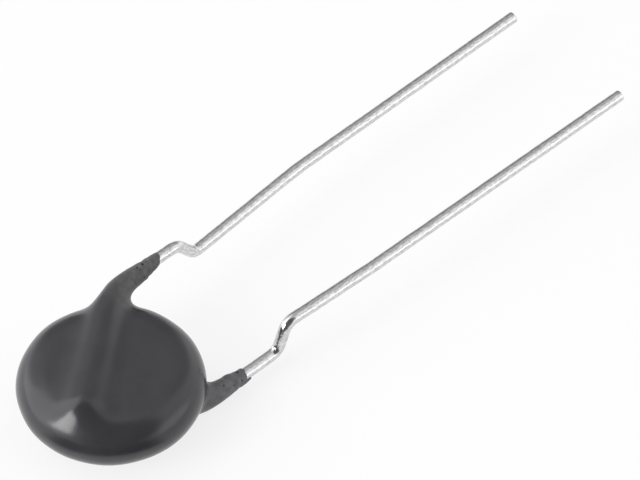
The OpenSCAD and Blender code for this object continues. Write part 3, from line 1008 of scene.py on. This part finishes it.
def choose_shader(nodes, links, factor, a, b):
    """Shader a where the factor is 0 and shader b where it is 1."""
    node = nodes.new("ShaderNodeMixShader")
    for socket, value in zip(node.inputs, (factor, a, b)):
        links.new(value, socket)
    return node.outputs[0]


def seen_directly(nodes, links, passed_on):
    """1 for rays from the camera and for the named kinds that metal and glass pass on."""
    path = nodes.new("ShaderNodeLightPath")
    total = path.outputs["Is Camera Ray"]
    for name in passed_on:
        total = combine(nodes, links, "MAXIMUM", total, path.outputs[name])
    return total


def make_floor():
    """A large pale sheet at the level that the part rests on. To the camera and in
    reflections it is white where it is lit and keeps a share of the part's shadow."""
    floor = flat_sheet("floor", -FLOOR_REACH, FLOOR_REACH, FLOOR_REACH)
    material, nodes, links, surface = bare_material("pale_floor")
    lit = grey_shader(nodes, "ShaderNodeBsdfDiffuse", FLOOR_COLOUR)
    shaded = grey_shader(nodes, "ShaderNodeBsdfDiffuse", FLOOR_SHADED)
    glow = grey_shader(nodes, "ShaderNodeEmission", FLOOR_GLOW)
    both = nodes.new("ShaderNodeAddShader")
    links.new(shaded, both.inputs[0])
    links.new(glow, both.inputs[1])
    direct = seen_directly(nodes, links, ("Is Glossy Ray", "Is Transmission Ray"))
    links.new(choose_shader(nodes, links, direct, lit, both.outputs[0]), surface)
    floor.data.materials.append(material)
    floor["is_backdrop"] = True


def make_world():
    """A soft studio round the part. It starts from one even level, and each light or dark
    field of STUDIO in turn takes over round its own direction, with a soft edge. The camera
    sees plain white."""
    world = bpy.data.worlds.new("studio")
    bpy.context.scene.world = world
    world.use_nodes = True
    nodes, links = world.node_tree.nodes, world.node_tree.links
    way = nodes.new("ShaderNodeTexCoord").outputs["Generated"]
    level = nodes.new("ShaderNodeValue").outputs[0]
    level.default_value = STUDIO_LEVEL
    for azimuth, elevation, inner, outer, strength in STUDIO:
        near = nodes.new("ShaderNodeVectorMath")
        near.operation = "DOT_PRODUCT"
        near.inputs[1].default_value = direction(azimuth, elevation)
        links.new(way, near.inputs[0])
        edge = math.cos(math.radians(outer)), math.cos(math.radians(inner))
        share = spread(nodes, links, near.outputs["Value"], *edge)
        share.node.interpolation_type = "SMOOTHSTEP"
        level = blend_values(nodes, links, share, level, strength)
    white = seen_directly(nodes, links, ("Is Transmission Ray",))
    strength = blend_values(nodes, links, white, level, 1.0)
    links.new(strength, nodes["Background"].inputs["Strength"])
    nodes["Background"].inputs["Color"].default_value = (1, 1, 1, 1)


def softbox(name, azimuth, elevation, distance, width, height, power, diffuse):
    """A rectangular lamp that faces the disc, in metres and watts. The last value is the
    share of its light that reaches matt surfaces."""
    light = bpy.data.lights.new(name, "AREA")
    light.shape = "RECTANGLE"
    light.size, light.size_y = width, height
    light.energy = power
    light.diffuse_factor = diffuse
    back = direction(azimuth, elevation)
    right = unit(np.cross(UP, back))
    axes = right, np.cross(back, right), back
    add_object(name, light, axes, CENTRE / METRE + distance * back)


def front_flag():
    """A black card that lies on the floor towards the camera and that only reflections see,
    with a soft near edge and soft sides."""
    out = direction(FLAG_AZIMUTH, 0)
    axes = out, np.array([-out[1], out[0], 0]), UP
    place = np.array([CENTRE[0] / METRE, CENTRE[1] / METRE, FLAG_LIFT])
    flag = flat_sheet("front_flag", 0, FLAG_FAR, FLAG_FAR, axes, place)
    material, nodes, links, surface = bare_material("front_flag")
    place = nodes.new("ShaderNodeTexCoord").outputs["Object"]
    split = nodes.new("ShaderNodeSeparateXYZ")
    links.new(place, split.inputs[0])
    reach = nodes.new("ShaderNodeVectorMath")
    reach.operation = "LENGTH"
    links.new(place, reach.inputs[0])
    reach = reach.outputs["Value"]
    beyond = spread(nodes, links, reach, FLAG_NEAR, FLAG_NEAR + FLAG_EDGE)
    ahead = combine(nodes, links, "DIVIDE", split.outputs["X"], reach)
    within = spread(nodes, links, ahead, math.cos(FLAG_OUTER), math.cos(FLAG_INNER))
    for mask in (beyond, within):
        mask.node.interpolation_type = "SMOOTHSTEP"
    there = combine(nodes, links, "MULTIPLY", beyond, within)
    clear = nodes.new("ShaderNodeBsdfTransparent").outputs[0]
    black = grey_shader(nodes, "ShaderNodeEmission", FLAG_GREY)
    links.new(choose_shader(nodes, links, there, clear, black), surface)
    flag.data.materials.append(material)
    flag.visible_camera = False
    flag.visible_diffuse = False
    flag.visible_shadow = False
    flag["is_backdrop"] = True


def make_camera():
    """A long lens at the photograph's viewing angle, placed so that the disc's middle falls
    on its image point."""
    focal_px = PX_PER_MM * VIEW_DISTANCE
    back = direction(VIEW_AZIMUTH, VIEW_ELEVATION)
    level = unit(np.cross(UP, back))
    upright = np.cross(back, level)
    right = level * math.cos(VIEW_ROLL) + upright * math.sin(VIEW_ROLL)
    up = -level * math.sin(VIEW_ROLL) + upright * math.cos(VIEW_ROLL)
    aside = (DISC_PX[0] - IMAGE_W / 2) / focal_px * VIEW_DISTANCE
    above = -(DISC_PX[1] - IMAGE_H / 2) / focal_px * VIEW_DISTANCE
    place = (CENTRE + VIEW_DISTANCE * back - aside * right - above * up) / METRE
    data = bpy.data.cameras.new("camera")
    data.sensor_width = SENSOR
    data.lens = focal_px * SENSOR / IMAGE_W
    data.clip_start = NEAREST
    data.clip_end = FARTHEST
    bpy.context.scene.camera = add_object("camera", data, (right, up, back), place)


make_camera()
make_floor()
make_world()
softbox(
    "left_softbox", azimuth=-8.5, elevation=26, distance=0.5,
    width=0.24, height=0.235, power=1.28, diffuse=0.5,
)
front_flag()

coating = make_coating()
coating.data.materials.append(epoxy_material())
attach(coating, BODY)
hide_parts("coating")

tin = tin_material()
for name, side, node in (
    ("front_tinned_lead", FRONT, "front_lead"),
    ("back_tinned_lead", BACK, "back_lead"),
):
    lead = make_lead(name, side)
    lead.data.materials.append(tin)
    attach(lead, BODY)
    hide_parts(node)

inner = {name: inner_material(name, *values) for name, values in INNER_FINISHES.items()}
for node, finish in INNER_PARTS.items():
    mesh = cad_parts[node].data
    mesh.materials.clear()
    mesh.materials.append(inner[finish])

bpy.context.scene.view_settings.view_transform = "Standard"

boxes = {"cad": cad_box, "visual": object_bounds()}
boxes = {name: [[float(x) for x in corner] for corner in box] for name, box in boxes.items()}
